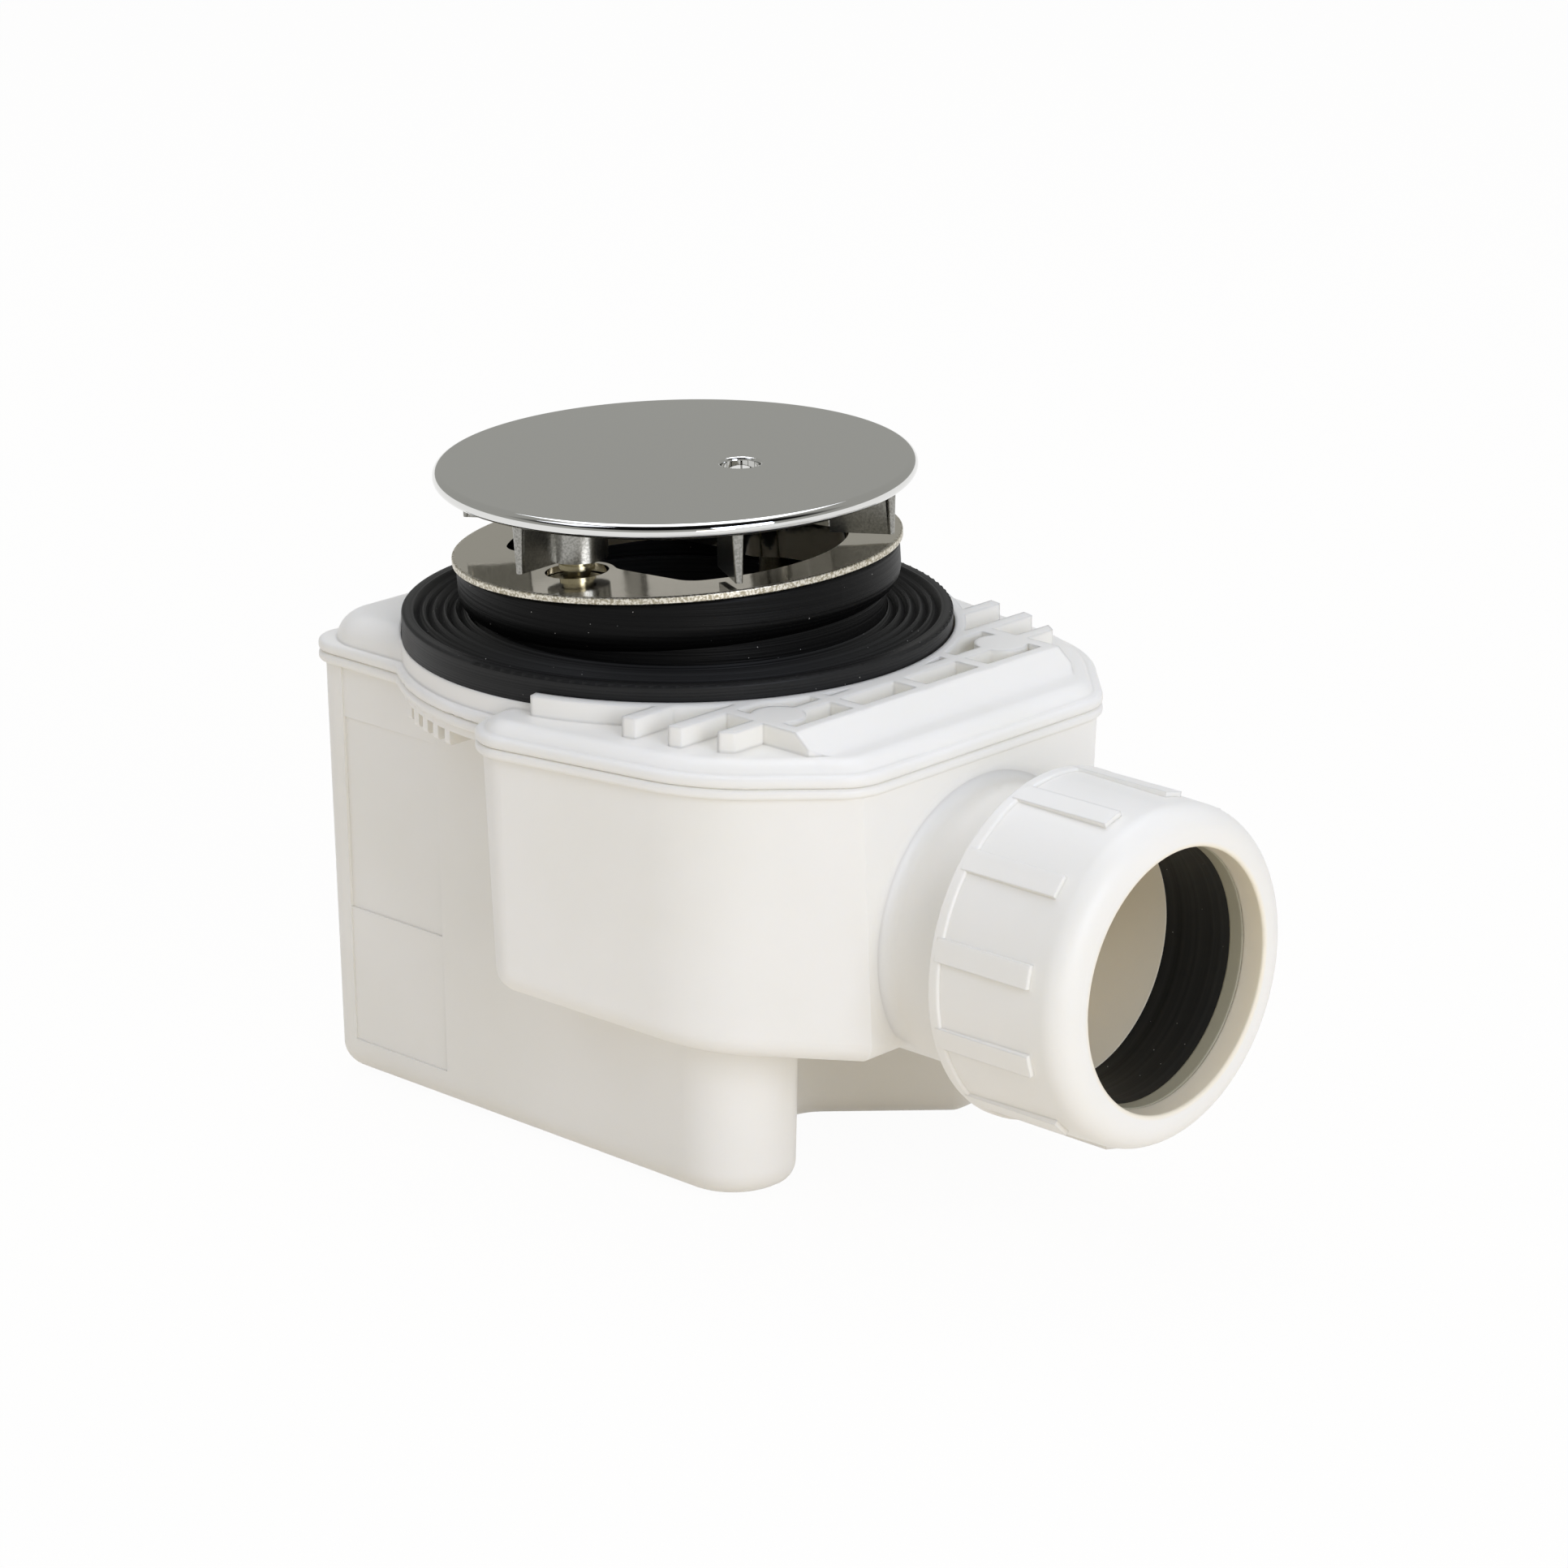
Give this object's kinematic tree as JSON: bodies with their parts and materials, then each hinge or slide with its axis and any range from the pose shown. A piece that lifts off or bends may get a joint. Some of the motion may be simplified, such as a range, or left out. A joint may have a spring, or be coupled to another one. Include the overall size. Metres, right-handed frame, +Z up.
{
  "type": "shower trap",
  "caption": "White moulded shower trap with a deep sump, an outlet chamber, a compression nut for the waste pipe, rubber tray seals, a clamping flange and a chromed cover cap.",
  "frame": {"origin": "on the drain axis at the flat base of the sump", "axes": "+X along the outlet pipe, out of the nut; +Z up along the drain axis; +Y completes a right-handed frame, the label field is on the -Y side"},
  "size_m": [0.1515, 0.1036, 0.1057],
  "materials": {
    "white_plastic": "satin",
    "grey_plastic": "satin",
    "black_rubber": "slight sheen",
    "nickel_plate": "bright, warm",
    "chrome_plate": "mirror",
    "brass": "plain turned"
  },
  "bodies": {
    "root": {"trap_body": "white_plastic", "outlet_spigot": "white_plastic", "trap_lid": "white_plastic", "compression_nut": "white_plastic", "dip_tube": "white_plastic", "thrust_ring": "grey_plastic", "lower_seal": "black_rubber", "upper_seal": "black_rubber", "outlet_seal": "black_rubber", "dip_tube_oring": "black_rubber", "valve_flange": "nickel_plate", "cover_cap": "chrome_plate", "flange_screws": "brass", "screw_inserts": "brass"}
  },
  "joints": []
}
